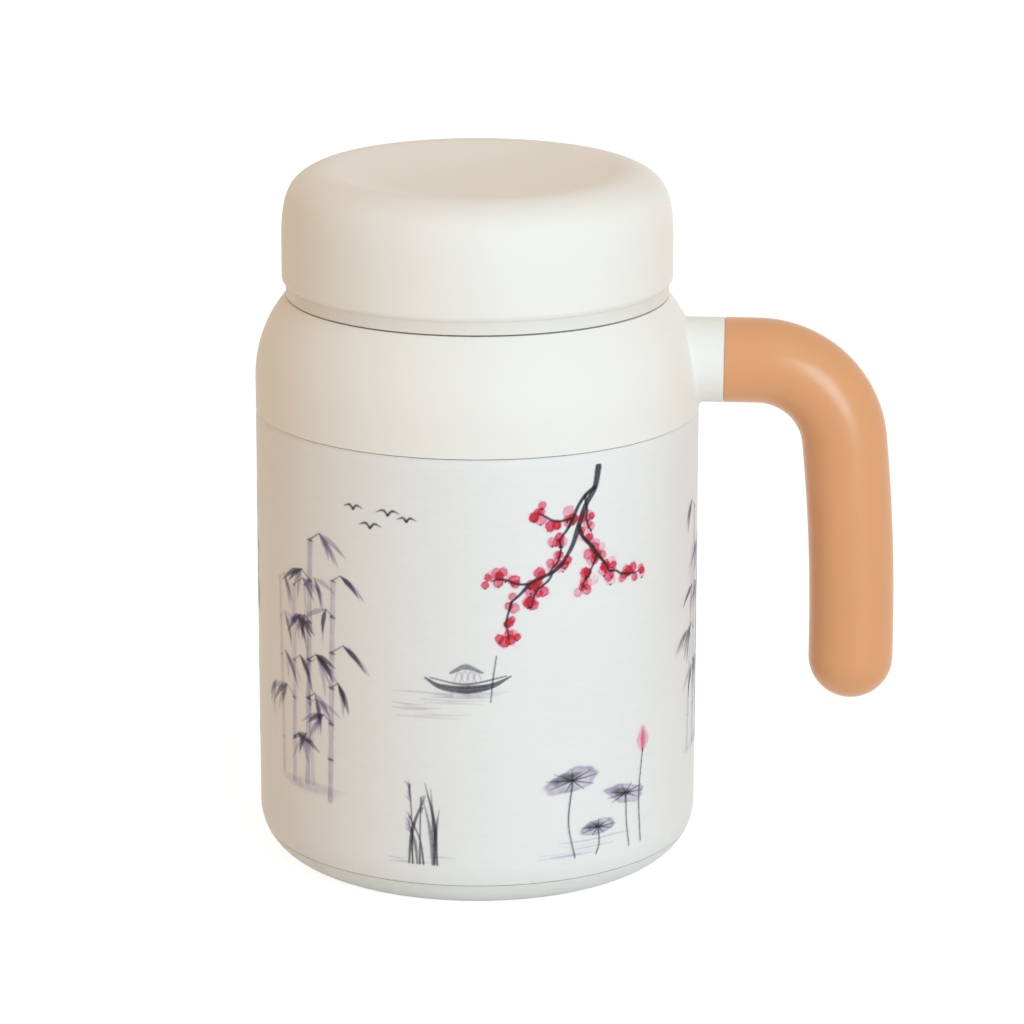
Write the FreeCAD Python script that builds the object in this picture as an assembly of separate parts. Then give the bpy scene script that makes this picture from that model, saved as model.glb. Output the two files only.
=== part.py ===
import FreeCAD, Part
import math
import os

# Vacuum tea mug with an infuser, a dished screw lid and an open-ended cane handle.
# Millimetres, +Z up. The origin is the centre of the base, on the mug's own axis.
# The handle points along +X.

# Clearances
press_fit = 0.1          # between pieces that are pressed or glued together
seat_gap = 0.1           # between pieces of different bodies that rest on each other
slide_fit = 0.3          # round a piece that lifts in and out
gasket_fit = 0.12        # round the infuser's gasket, which just wipes the neck

# Steel walls
body_radius = 45.0
shell_wall = 0.6
liner_wall = 0.5
vacuum_gap = 3.8         # between the two walls
neck_gap = 0.6           # the same, at the neck
base_corner_radius = 9.95
foot_radius = 38.0       # where the rounded corner meets the table
pad_height = 5.5         # lower edge of the steel wall
top_edge_height = 2.0    # of the eased edge under the collar
top_edge_radius = 6.0
pad_seam = 0.15
bottom_plate_height = 8.4
liner_floor_height = 12.5
liner_corner_radius = 6.0
liner_shoulder_radius = 6.0
liner_shoulder_drop = 3.0    # from the shell's shoulder down to the liner's
neck_fillet = 1.2

# Bottom plate
plate_wall = 0.6
plate_corner_radius = 1.0
plate_flange_clearance = 0.08
dimple_radius = 6.0
dimple_depth = 1.4
evacuation_hole_radius = 1.2
seal_bead_radius = 3.2
seal_bead_height = 1.0
getter_radius = 4.0
getter_height = 2.0
getter_offset = 20.0

# Base pad
pad_floor = 2.2
pad_rim_width = 4.0

# Shoulder collar
seam_height = 93.6
seam_gap = 0.25
collar_wall = 2.0
collar_side_height = 6.2
collar_arc_radius = 25.0
collar_floor = 2.4           # under the neck ring's flange
collar_gasket_height = 2.2
collar_gasket_width = 2.0
shell_shoulder_radius = 8.0
collar_fit = 0.4             # collar to steel shoulder

# Lid
lid_setback = 5.54           # lid's side, inside the body's
band_inset = 0.8             # lid's lower band, inside its side
lid_gap = 0.35               # between the band and the collar's ledge
band_height = 2.6            # what shows below the cap
cap_lap = 0.6                # how far the cap's edge reaches down over the band
cap_seam = 0.15
cap_edge_round = 1.3
cap_wall = 1.9
cap_side_height = 8.34       # from the cap's lower edge to where its corner starts
cap_corner_height = 14.39    # from there to the crest
cap_corner_width = 8.96
cap_corner_fullness = 0.78   # 0.55 is a round corner, 1 a square one
cap_top_wall = 2.0
dish_depth = 3.5
crest_round = 8.0
crest_outer_slope = 22.0     # degrees, where the rounded crest runs into the corner
crest_inner_slope = 14.0     # and into the dish
dish_ease = 8.0              # how far the dish keeps that slope
dish_floor_reach = 14.0      # how far the bottom of the dish stays level
skirt_wall = 1.9
thread_room = 1.5            # between the lid's skirt and the neck ring, for both threads
liner_disc = 1.8
liner_taper = 1.0
seal_width = 3.4
seal_height = 2.2
seal_wall_width = 0.7
seal_wall_height = 1.8
foam_gap = 0.1
foam_edge_gap = 1.0

# Neck
ring_wall = 1.5
ring_flange_width = 3.0
ring_flange_height = 2.0
neck_height = 8.6            # steel neck above the collar's ledge
lip_radius = 1.3
neck_gasket_height = 1.2
neck_gasket_width = 1.1

# Infuser
rim_wall = 1.6
rim_flange_height = 1.5
rim_flange_overhang = 0.3    # beyond the lip
rim_depth = 9.0
rim_groove_height = 2.0
rim_groove_depth = 0.7
rim_groove_below_lip = 4.0
basket_wall = 0.4
basket_depth = 58.0
basket_corner_radius = 1.0
basket_flange_width = 0.9
basket_toe_width = 1.6       # in-turned edge that carries the floor
hole_radius = 1.2
wall_hole_columns = 14
wall_hole_rows = 5
wall_hole_margin = 7.0       # plain steel above and below the holes
floor_hole_pitch = 8.0
floor_hole_rings = 2

# Handle
handle_radius = 8.6          # of the stub and of the grip
stub_length = 5.2            # from the collar's side to the grip
stub_root_fillet = 0.9
stub_seam_margin = 0.4       # collar left below the stub's fillet
stub_end_chamfer = 0.3
grip_straight = 6.5
grip_bend_radius = 17.95
grip_lean = 6.2              # degrees off the vertical after the bend, taken up by the slow sweep
grip_drop = 61.9             # from the stub's centre line down to the centre of the rounded end
grip_end_straight = 5.1
grip_wall = 2.5
key_side = 9.0
key_length = 1.8
screw_radius = 2.0
screw_length = 13.0
screw_head_radius = 3.6
screw_head_height = 2.0
washer_radius = 4.1
washer_thickness = 0.7
screw_seat = 2.2             # plastic between the washer and the key

# Worked out from the sizes above
corner_centre_radius = body_radius - base_corner_radius
corner_centre_height = math.sqrt(base_corner_radius ** 2 - (foot_radius - corner_centre_radius) ** 2)
shell_inner_radius = body_radius - shell_wall
liner_outer_radius = shell_inner_radius - vacuum_gap
collar_radius = body_radius
collar_inner_radius = collar_radius - collar_wall
collar_arc_centre = collar_radius - collar_arc_radius
collar_arc_height = seam_height + collar_side_height
cap_radius = body_radius - lid_setback
band_radius = cap_radius - band_inset
ledge_height = collar_arc_height + math.sqrt(collar_arc_radius ** 2 - (band_radius - collar_arc_centre) ** 2)
lid_bottom = ledge_height + lid_gap
cap_bottom = lid_bottom + band_height
band_top = cap_bottom + cap_lap
corner_start = cap_bottom + cap_side_height
crest_height = corner_start + cap_corner_height
crest_radius = cap_radius - cap_corner_width
dish_height = crest_height - dish_depth
skirt_outer = cap_radius - cap_wall - press_fit
skirt_inner = skirt_outer - skirt_wall
ring_outer = skirt_inner - thread_room
ring_inner = ring_outer - ring_wall
shell_neck_outer = ring_inner - press_fit
shell_neck_inner = shell_neck_outer - shell_wall
liner_neck_outer = shell_neck_inner - neck_gap
mouth_radius = liner_neck_outer - liner_wall
neck_top = ledge_height + neck_height
lip_top = neck_top + lip_radius
lip_outer = mouth_radius + 2 * lip_radius
ring_seat = ledge_height - ring_flange_height
collar_underside = ring_seat - collar_floor
shell_shoulder_top = collar_underside - collar_gasket_height
shell_waist = collar_inner_radius - collar_fit
liner_shoulder_top = shell_shoulder_top - liner_shoulder_drop
ring_top = neck_top - neck_gasket_height
plate_radius = corner_centre_radius - plate_flange_clearance + math.sqrt(
    (base_corner_radius - shell_wall) ** 2 - (corner_centre_height - pad_height) ** 2)
rim_outer = mouth_radius - slide_fit
rim_inner = rim_outer - rim_wall
rim_seat = lip_top + seat_gap
rim_top = rim_seat + rim_flange_height
basket_radius = rim_inner - press_fit
basket_inner = basket_radius - basket_wall
basket_top = rim_top - press_fit
basket_bottom = basket_top - basket_depth
seal_bottom = rim_top + seat_gap
disc_underside = seal_bottom + seal_height + seat_gap
disc_top = disc_underside + liner_disc
seal_outer = rim_outer + seal_width
handle_height = seam_height + stub_seam_margin + stub_root_fillet + handle_radius
stub_end = collar_radius + stub_length
grip_end_height = handle_height - grip_drop
sweep_height = grip_drop - grip_end_straight - grip_bend_radius
sweep_radius = grip_bend_radius + sweep_height / math.sin(math.radians(grip_lean))
core_radius = handle_radius - grip_wall
key_start = stub_end - key_length
washer_seat = key_start - screw_seat
screw_head_start = washer_seat - washer_thickness - screw_head_height


def section_point(radius, height):
    return FreeCAD.Vector(radius, 0.0, height)


class Section:
    # A closed outline in the half plane of radius and height, drawn edge by edge and spun about the axis.

    def __init__(self, radius, height):
        self.first = section_point(radius, height)
        self.last = self.first
        self.edges = []

    def line(self, radius, height):
        end = section_point(radius, height)
        self.edges.append(Part.LineSegment(self.last, end).toShape())
        self.last = end
        return self

    def arc(self, centre_radius, centre_height, radius, height):
        # The shorter way round the centre to the end.
        centre = section_point(centre_radius, centre_height)
        end = section_point(radius, height)
        outward = (self.last - centre) + (end - centre)
        outward.normalize()
        middle = centre + outward * (self.last - centre).Length
        self.edges.append(Part.Arc(self.last, middle, end).toShape())
        self.last = end
        return self

    def curve(self, first_handle, second_handle, radius, height):
        end = section_point(radius, height)
        bezier = Part.BezierCurve()
        bezier.setPoles([self.last, section_point(*first_handle), section_point(*second_handle), end])
        self.edges.append(bezier.toShape())
        self.last = end
        return self

    def spun(self):
        if (self.last - self.first).Length > 1e-9:
            self.line(self.first.x, self.first.z)
        face = Part.Face(Part.Wire(self.edges))
        return face.revolve(FreeCAD.Vector(0, 0, 0), FreeCAD.Vector(0, 0, 1), 360)


def ring(inner, outer, bottom, top):
    return Section(inner, bottom).line(outer, bottom).line(outer, top).line(inner, top).spun()


def disc(radius, bottom, top):
    return Part.makeCylinder(radius, top - bottom, FreeCAD.Vector(0, 0, bottom))


def rod_along_x(radius, start, end, height):
    return Part.makeCylinder(radius, end - start, FreeCAD.Vector(start, 0, height), FreeCAD.Vector(1, 0, 0))


def corner_radius_at(height, inset):
    # Radius of the rounded base corner, inset by a wall, at a height.
    reach = base_corner_radius - inset
    return corner_centre_radius + math.sqrt(reach ** 2 - (corner_centre_height - height) ** 2)


def outer_shell():
    s = Section(corner_radius_at(pad_height, 0), pad_height)
    s.arc(corner_centre_radius, corner_centre_height, body_radius, corner_centre_height)
    seam = seam_height - seam_gap
    edge_start = seam - top_edge_height
    edge_setback = top_edge_radius - math.sqrt(top_edge_radius ** 2 - top_edge_height ** 2)
    s.line(body_radius, edge_start)
    s.arc(body_radius - top_edge_radius, edge_start, body_radius - edge_setback, seam)
    s.line(shell_waist, seam)
    arc_height = shell_shoulder_top - shell_shoulder_radius
    arc_centre = shell_waist - shell_shoulder_radius
    s.line(shell_waist, arc_height)
    s.arc(arc_centre, arc_height, arc_centre, shell_shoulder_top)
    fillet_centre = shell_neck_outer + neck_fillet
    fillet_height = shell_shoulder_top + neck_fillet
    s.line(fillet_centre, shell_shoulder_top)
    s.arc(fillet_centre, fillet_height, shell_neck_outer, fillet_height)
    s.line(shell_neck_outer, neck_top)
    s.line(shell_neck_inner, neck_top)
    s.line(shell_neck_inner, fillet_height)
    s.arc(fillet_centre, fillet_height, fillet_centre, shell_shoulder_top - shell_wall)
    s.line(arc_centre, shell_shoulder_top - shell_wall)
    s.arc(arc_centre, arc_height, shell_waist - shell_wall, arc_height)
    s.line(shell_waist - shell_wall, seam - shell_wall)
    s.line(shell_inner_radius, seam - shell_wall)
    s.line(shell_inner_radius, corner_centre_height)
    s.arc(corner_centre_radius, corner_centre_height, corner_radius_at(pad_height, shell_wall), pad_height)
    return s.spun()


def inner_liner():
    # Tube with a drawn-in neck and a rolled lip, turned in at its lower end to meet the floor.
    inner = liner_outer_radius - liner_wall
    floor = liner_floor_height + liner_wall
    corner = liner_outer_radius - liner_corner_radius
    corner_height = liner_floor_height + liner_corner_radius
    arc_centre = liner_outer_radius - liner_shoulder_radius
    arc_height = liner_shoulder_top - liner_shoulder_radius
    fillet_centre = liner_neck_outer + neck_fillet
    fillet_height = liner_shoulder_top + neck_fillet
    s = Section(corner, liner_floor_height)
    s.arc(corner, corner_height, liner_outer_radius, corner_height)
    s.line(liner_outer_radius, arc_height)
    s.arc(arc_centre, arc_height, arc_centre, liner_shoulder_top)
    s.line(fillet_centre, liner_shoulder_top)
    s.arc(fillet_centre, fillet_height, liner_neck_outer, fillet_height)
    s.line(liner_neck_outer, neck_top)
    s.line(lip_outer, neck_top)
    s.arc(mouth_radius + lip_radius, neck_top, mouth_radius + lip_radius, lip_top)
    s.arc(mouth_radius + lip_radius, neck_top, mouth_radius, neck_top)
    s.line(mouth_radius, fillet_height)
    s.arc(fillet_centre, fillet_height, fillet_centre, liner_shoulder_top - liner_wall)
    s.line(arc_centre, liner_shoulder_top - liner_wall)
    s.arc(arc_centre, arc_height, inner, arc_height)
    s.line(inner, corner_height)
    s.arc(corner, corner_height, corner, floor)
    return s.spun()


def liner_floor():
    # Disc welded edge to edge to the turned-in end of the liner.
    radius = liner_outer_radius - liner_corner_radius
    return disc(radius, liner_floor_height, liner_floor_height + liner_wall)


def shell_bottom():
    # Pressed plate with a turned-down edge and a central dimple for the evacuation hole.
    top = bottom_plate_height + plate_wall
    rounding = plate_radius - plate_corner_radius
    s = Section(plate_radius - plate_wall, pad_height)
    s.line(plate_radius, pad_height)
    s.line(plate_radius, top - plate_corner_radius)
    s.arc(rounding, top - plate_corner_radius, rounding, top)
    s.line(dimple_radius + plate_wall, top)
    s.line(dimple_radius, top + dimple_depth)
    s.line(evacuation_hole_radius, top + dimple_depth)
    s.line(evacuation_hole_radius, top + dimple_depth - plate_wall)
    s.line(dimple_radius - plate_wall, top + dimple_depth - plate_wall)
    s.line(dimple_radius, bottom_plate_height)
    s.line(plate_radius - plate_wall, bottom_plate_height)
    return s.spun()


def vacuum_seal():
    ceiling = bottom_plate_height + dimple_depth
    stem = disc(evacuation_hole_radius - press_fit, ceiling - seal_bead_height, ceiling + plate_wall)
    bead = disc(seal_bead_radius, ceiling - seal_bead_height, ceiling)
    return stem.fuse(bead).removeSplitter()


def getter():
    base = FreeCAD.Vector(-getter_offset, 0, bottom_plate_height + plate_wall)
    return Part.makeCylinder(getter_radius, getter_height, base)


def base_pad():
    # Cup-shaped pad whose side carries on the steel's rounded corner and whose rim reaches up to the plate.
    top = pad_height - pad_seam
    rim_outer_radius = plate_radius - plate_wall - press_fit
    rim_inner_radius = rim_outer_radius - pad_rim_width
    s = Section(0, 0)
    s.line(foot_radius, 0)
    s.arc(corner_centre_radius, corner_centre_height, corner_radius_at(top, 0), top)
    s.line(rim_outer_radius, top)
    s.line(rim_outer_radius, bottom_plate_height - press_fit)
    s.line(rim_inner_radius, bottom_plate_height - press_fit)
    s.line(rim_inner_radius, pad_floor)
    s.line(0, pad_floor)
    return s.spun()


def collar_outside():
    # The collar as if it were solid, up to the ledge under the lid.
    s = Section(0, seam_height)
    s.line(collar_radius, seam_height)
    s.line(collar_radius, collar_arc_height)
    s.arc(collar_arc_centre, collar_arc_height, band_radius, ledge_height)
    s.line(0, ledge_height)
    return s.spun()


def collar_inside():
    # Everything that the collar is open for: the steel shoulder, the neck and the neck ring's flange.
    inner_arc = collar_arc_radius - collar_wall
    flat_edge = collar_arc_centre + math.sqrt(inner_arc ** 2 - (collar_underside - collar_arc_height) ** 2)
    neck_hole = shell_neck_outer + collar_fit
    flange_hole = ring_outer + ring_flange_width + press_fit
    s = Section(0, seam_height - collar_wall)
    s.line(collar_inner_radius, seam_height - collar_wall)
    s.line(collar_inner_radius, collar_arc_height)
    s.arc(collar_arc_centre, collar_arc_height, flat_edge, collar_underside)
    s.line(neck_hole, collar_underside)
    s.line(neck_hole, ring_seat)
    s.line(flange_hole, ring_seat)
    s.line(flange_hole, ledge_height + collar_wall)
    s.line(0, ledge_height + collar_wall)
    return s.spun()


def stub():
    # Solid arm of the collar that the grip butts against, eased at its end.
    arm = rod_along_x(handle_radius, collar_arc_centre, stub_end, handle_height)
    end_edges = [e for e in arm.Edges if e.BoundBox.XMin > stub_end - press_fit]
    return arm.makeChamfer(stub_end_chamfer, end_edges)


def on_stub_wall(edge):
    # True for the edge where the stub leaves the collar.
    for vertex in edge.discretize(7):
        off_axis = math.hypot(vertex.y, vertex.z - handle_height)
        if abs(off_axis - handle_radius) > 1e-3 or vertex.x > stub_end - 2 * stub_end_chamfer:
            return False
    box = edge.BoundBox
    return box.YLength > handle_radius


def key_block(side, start, end):
    corner = FreeCAD.Vector(start, -side / 2, handle_height - side / 2)
    return Part.makeBox(end - start, side, side, corner)


def collar():
    body = collar_outside().fuse(stub()).removeSplitter()
    body = body.makeFillet(stub_root_fillet, [e for e in body.Edges if on_stub_wall(e)])
    body = body.cut(collar_inside())
    body = body.cut(rod_along_x(washer_radius + press_fit, collar_arc_centre, washer_seat, handle_height))
    body = body.cut(rod_along_x(screw_radius + press_fit, washer_seat, stub_end, handle_height))
    return body.cut(key_block(key_side + 2 * press_fit, key_start, stub_end))


def collar_gasket():
    inner = shell_neck_outer + neck_fillet + press_fit
    return ring(inner, inner + collar_gasket_width, shell_shoulder_top, collar_underside)


def neck_ring():
    flange = ring_outer + ring_flange_width
    s = Section(ring_inner, ring_seat)
    s.line(flange, ring_seat)
    s.line(flange, ledge_height)
    s.line(ring_outer, ledge_height)
    s.line(ring_outer, ring_top)
    s.line(ring_inner, ring_top)
    return s.spun()


def neck_gasket():
    return ring(ring_inner, ring_inner + neck_gasket_width, ring_top, neck_top)


def on_arc(centre, radius, angle):
    return centre + FreeCAD.Vector(radius * math.sin(angle), 0, radius * math.cos(angle))


def arc_between(centre, radius, first, last):
    ends = [on_arc(centre, radius, angle) for angle in (first, (first + last) / 2, last)]
    return Part.Arc(*ends).toShape()


def handle_path():
    # Straight out of the stub, round the bend, then a slow sweep to the vertical and down to the free end.
    bend = math.radians(90 - grip_lean)
    down = math.radians(90)
    bend_centre = FreeCAD.Vector(stub_end + grip_straight, 0, handle_height - grip_bend_radius)
    sweep_centre = on_arc(bend_centre, grip_bend_radius - sweep_radius, bend)
    start = FreeCAD.Vector(stub_end, 0, handle_height)
    turn = on_arc(bend_centre, grip_bend_radius, 0)
    sweep_end = on_arc(sweep_centre, sweep_radius, down)
    end = FreeCAD.Vector(sweep_end.x, 0, grip_end_height)
    edges = [
        Part.LineSegment(start, turn).toShape(),
        arc_between(bend_centre, grip_bend_radius, 0, bend),
        arc_between(sweep_centre, sweep_radius, bend, down),
        Part.LineSegment(sweep_end, end).toShape(),
    ]
    return Part.Wire(edges), start, end


def cane(radius):
    # Round bar along the handle's path with a domed free end.
    path, start, end = handle_path()
    outline = Part.Wire(Part.makeCircle(radius, start, FreeCAD.Vector(1, 0, 0)))
    bar = path.makePipeShell([outline], True, False)
    dome = Part.makeSphere(radius, end, FreeCAD.Vector(0, 0, -1), 0, 90, 360)
    return bar.fuse(dome).removeSplitter()


def handle_grip():
    return cane(handle_radius).cut(cane(core_radius))


def handle_core():
    core = cane(core_radius).fuse(key_block(key_side, key_start, stub_end))
    screw_end = washer_seat - washer_thickness + screw_length
    return core.cut(rod_along_x(screw_radius + press_fit, key_start, screw_end + press_fit, handle_height))


def handle_screw():
    head_end = screw_head_start + screw_head_height
    head = rod_along_x(screw_head_radius, screw_head_start, head_end, handle_height)
    return head.fuse(rod_along_x(screw_radius, head_end, head_end + screw_length, handle_height))


def handle_washer():
    start = washer_seat - washer_thickness
    blank = rod_along_x(washer_radius, start, washer_seat, handle_height)
    return blank.cut(rod_along_x(screw_radius + press_fit, start, washer_seat, handle_height))


def wall_holes():
    # Staggered rows of radial holes between the two plain margins.
    bottom = basket_bottom + wall_hole_margin
    top = rim_seat - rim_depth - wall_hole_margin
    spacing = (top - bottom) / (wall_hole_rows - 1)
    step = 360.0 / wall_hole_columns
    drills = []
    for row in range(wall_hole_rows):
        for column in range(wall_hole_columns):
            angle = math.radians(step * (column + 0.5 * (row % 2)))
            way = FreeCAD.Vector(math.cos(angle), math.sin(angle), 0)
            start = way * (basket_inner - basket_wall)
            start.z = bottom + spacing * row
            drills.append(Part.makeCylinder(hole_radius, 3 * basket_wall, start, way))
    return Part.makeCompound(drills)


def infuser_basket():
    # Drawn wall, turned out at the top to hang in the rim and turned in at the bottom to carry the floor.
    centre = basket_radius - basket_corner_radius
    centre_height = basket_bottom + basket_corner_radius
    inner_round = basket_corner_radius - basket_wall
    toe = basket_radius - basket_corner_radius - basket_toe_width
    s = Section(toe, basket_bottom)
    s.line(centre, basket_bottom)
    s.arc(centre, centre_height, basket_radius, centre_height)
    s.line(basket_radius, basket_top - basket_wall)
    s.line(basket_radius + basket_flange_width, basket_top - basket_wall)
    s.line(basket_radius + basket_flange_width, basket_top)
    s.line(basket_inner, basket_top)
    s.line(basket_inner, centre_height)
    s.arc(centre, centre_height, centre, centre_height - inner_round)
    s.line(toe, basket_bottom + basket_wall)
    return s.spun().cut(wall_holes())


def infuser_floor():
    bottom = basket_bottom + basket_wall
    radius = basket_radius - basket_corner_radius
    drills = [disc(hole_radius, bottom, bottom + basket_wall)]
    for ring_number in range(1, floor_hole_rings + 1):
        count = 6 * ring_number
        for index in range(count):
            angle = 2 * math.pi * index / count
            drill = disc(hole_radius, bottom, bottom + basket_wall)
            reach = ring_number * floor_hole_pitch
            drill.translate(FreeCAD.Vector(reach * math.cos(angle), reach * math.sin(angle), 0))
            drills.append(drill)
    return disc(radius, bottom, bottom + basket_wall).cut(Part.makeCompound(drills))


def infuser_rim():
    groove_top = lip_top - rim_groove_below_lip
    groove_bottom = groove_top - rim_groove_height
    flange = lip_outer + rim_flange_overhang
    recess = basket_radius + basket_flange_width + press_fit
    s = Section(rim_inner, rim_seat - rim_depth)
    s.line(rim_outer, rim_seat - rim_depth)
    s.line(rim_outer, groove_bottom)
    s.line(rim_outer - rim_groove_depth, groove_bottom)
    s.line(rim_outer - rim_groove_depth, groove_top)
    s.line(rim_outer, groove_top)
    s.line(rim_outer, rim_seat)
    s.line(flange, rim_seat)
    s.line(flange, rim_top)
    s.line(recess, rim_top)
    s.line(recess, basket_top - basket_wall)
    s.line(rim_inner, basket_top - basket_wall)
    return s.spun()


def infuser_gasket():
    groove_top = lip_top - rim_groove_below_lip
    groove_bottom = groove_top - rim_groove_height
    return ring(rim_outer - rim_groove_depth, mouth_radius - gasket_fit, groove_bottom, groove_top)


def lid_seal():
    return ring(rim_outer, seal_outer, seal_bottom, seal_bottom + seal_height)


def beside_crest(angle, depth, along=0.0):
    # Point on the rounded crest at this slope, or further along its tangent; positive angles are outside it.
    turn = math.radians(angle)
    reach = crest_round - depth
    side = math.copysign(along, angle)
    radius = crest_radius + reach * math.sin(turn) + side * math.cos(turn)
    height = crest_height - crest_round + reach * math.cos(turn) - side * math.sin(turn)
    return radius, height


def cap_corner(side_radius, depth):
    # Handles and end of the curve from the lid's side up to the rounded crest.
    radius, height = beside_crest(crest_outer_slope, depth)
    width = side_radius - radius
    corner = height - width * math.tan(math.radians(crest_outer_slope))
    full = cap_corner_fullness
    first = (side_radius, corner_start + full * (corner - corner_start))
    second = (radius + full * width, height - full * (height - corner))
    return first, second, (radius, height)


def lid_cap():
    inner = cap_radius - cap_wall
    centre_height = crest_height - crest_round
    edge_centre = cap_radius - cap_edge_round
    lap_radius = band_radius + press_fit
    edge_height = cap_bottom + math.sqrt(cap_edge_round ** 2 - (lap_radius - edge_centre) ** 2)
    s = Section(inner, band_top + cap_seam)
    s.line(lap_radius, band_top + cap_seam)
    s.line(lap_radius, cap_bottom)
    s.arc(edge_centre, edge_height, cap_radius, edge_height)
    s.line(cap_radius, corner_start)
    first, second, end = cap_corner(cap_radius, 0)
    s.curve(first, second, *end)
    s.arc(crest_radius, centre_height, *beside_crest(-crest_inner_slope, 0))
    s.curve(beside_crest(-crest_inner_slope, 0, dish_ease), (dish_floor_reach, dish_height), 0, dish_height)
    inner_dish = dish_height - cap_top_wall
    s.line(0, inner_dish)
    s.curve((dish_floor_reach, inner_dish), beside_crest(-crest_inner_slope, cap_top_wall, dish_ease),
            *beside_crest(-crest_inner_slope, cap_top_wall))
    s.arc(crest_radius, centre_height, *beside_crest(crest_outer_slope, cap_top_wall))
    first, second, end = cap_corner(inner, cap_top_wall)
    s.curve(second, first, inner, corner_start)
    return s.spun()


def lid_liner():
    # Skirt with the band at its foot, closed by a disc that has a wall round the seal's groove.
    seal_wall_outer = rim_outer - press_fit
    seal_wall_inner = seal_wall_outer - seal_wall_width
    s = Section(skirt_inner, lid_bottom)
    s.line(band_radius, lid_bottom)
    s.line(band_radius, band_top)
    s.line(skirt_outer, band_top)
    s.line(skirt_outer, corner_start)
    s.line(skirt_outer - liner_taper, disc_top)
    s.line(0, disc_top)
    s.line(0, disc_underside)
    s.line(seal_wall_inner, disc_underside)
    s.line(seal_wall_inner, disc_underside - seal_wall_height)
    s.line(seal_wall_outer, disc_underside - seal_wall_height)
    s.line(seal_wall_outer, disc_underside)
    s.line(skirt_inner, disc_underside)
    return s.spun()


def lid_foam():
    top = dish_height - cap_top_wall - foam_gap
    return disc(skirt_outer - liner_taper - foam_edge_gap, disc_top, top)


pieces = {
    "outer_shell": outer_shell,
    "inner_liner": inner_liner,
    "liner_floor": liner_floor,
    "shell_bottom": shell_bottom,
    "vacuum_seal": vacuum_seal,
    "getter": getter,
    "base_pad": base_pad,
    "collar": collar,
    "collar_gasket": collar_gasket,
    "neck_ring": neck_ring,
    "neck_gasket": neck_gasket,
    "handle_core": handle_core,
    "handle_grip": handle_grip,
    "handle_screw": handle_screw,
    "handle_washer": handle_washer,
    "infuser_basket": infuser_basket,
    "infuser_floor": infuser_floor,
    "infuser_rim": infuser_rim,
    "infuser_gasket": infuser_gasket,
    "lid_seal": lid_seal,
    "lid_cap": lid_cap,
    "lid_liner": lid_liner,
    "lid_foam": lid_foam,
}

os.makedirs("parts", exist_ok=True)
for name, build in pieces.items():
    shape = build()
    shape.exportStep(os.path.join("parts", name + ".step"))
    print(name, len(shape.Solids), "solid,", round(shape.Volume / 1000, 2), "cm3, valid", shape.isValid())
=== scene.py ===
import bpy
import bmesh
import math
import numpy as np
from mathutils import Matrix, Vector


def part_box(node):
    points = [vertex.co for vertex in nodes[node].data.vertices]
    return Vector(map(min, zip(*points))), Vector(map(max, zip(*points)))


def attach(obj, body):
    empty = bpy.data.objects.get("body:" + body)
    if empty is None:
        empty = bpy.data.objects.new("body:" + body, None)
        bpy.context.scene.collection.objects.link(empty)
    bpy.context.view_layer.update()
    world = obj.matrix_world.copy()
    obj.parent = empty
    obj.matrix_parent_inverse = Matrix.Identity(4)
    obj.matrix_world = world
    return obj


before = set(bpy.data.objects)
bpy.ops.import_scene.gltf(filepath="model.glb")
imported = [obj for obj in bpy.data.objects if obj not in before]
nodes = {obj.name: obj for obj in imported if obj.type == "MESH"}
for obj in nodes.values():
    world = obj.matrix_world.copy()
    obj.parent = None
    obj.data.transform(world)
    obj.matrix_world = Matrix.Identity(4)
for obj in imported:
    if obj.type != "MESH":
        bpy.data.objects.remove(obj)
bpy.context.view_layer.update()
mm = 0.001
fullTurn = 2 * math.pi
print("frame loaded:", len(nodes), "nodes")

# metres and degrees; the azimuth runs from the front towards the handle
cameraPlace = {
    "distance": 0.8862, "height": 0.3192, "azimuth": 4.4, "down": 15.68,
    "lens": 158.08, "sensor": 36, "shift": 0.0338, "nearest": 0.01,
}


def newMaterial(name):
    material = bpy.data.materials.new(name)
    material.use_nodes = True
    tree = material.node_tree
    return material, tree, tree.nodes["Principled BSDF"]


def addNode(tree, kind, values=None, **settings):
    node = tree.nodes.new(kind)
    for key, value in settings.items():
        setattr(node, key, value)
    for key, value in (values or {}).items():
        node.inputs[key].default_value = value
    return node


def mappedNoise(tree, scale, stretch=(1, 1, 1), detail=3.0, roughness=0.5):
    # noise on object coordinates, drawn out where stretch is uneven
    where = addNode(tree, "ShaderNodeTexCoord")
    mapping = addNode(tree, "ShaderNodeMapping", {"Scale": stretch})
    noise = addNode(tree, "ShaderNodeTexNoise", {"Scale": scale, "Detail": detail, "Roughness": roughness})
    tree.links.new(where.outputs["Object"], mapping.inputs["Vector"])
    tree.links.new(mapping.outputs["Vector"], noise.inputs["Vector"])
    return noise


def tones(tree, fac, dark, light, low=0.3, high=0.7):
    ramp = addNode(tree, "ShaderNodeValToRGB")
    ramp.color_ramp.elements[0].position = low
    ramp.color_ramp.elements[1].position = high
    ramp.color_ramp.elements[0].color = (*dark, 1)
    ramp.color_ramp.elements[1].color = (*light, 1)
    tree.links.new(fac, ramp.inputs["Fac"])
    return ramp.outputs["Color"]


def spread(tree, fac, low, high):
    span = addNode(tree, "ShaderNodeMapRange", {"To Min": low, "To Max": high})
    tree.links.new(fac, span.inputs["Value"])
    return span.outputs["Result"]


def multiplied(tree, first, second):
    mix = addNode(tree, "ShaderNodeMix", data_type="RGBA", blend_type="MULTIPLY")
    mix.inputs["Factor"].default_value = 1.0
    tree.links.new(first, mix.inputs["A"])
    tree.links.new(second, mix.inputs["B"])
    return mix.outputs["Result"]


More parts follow.
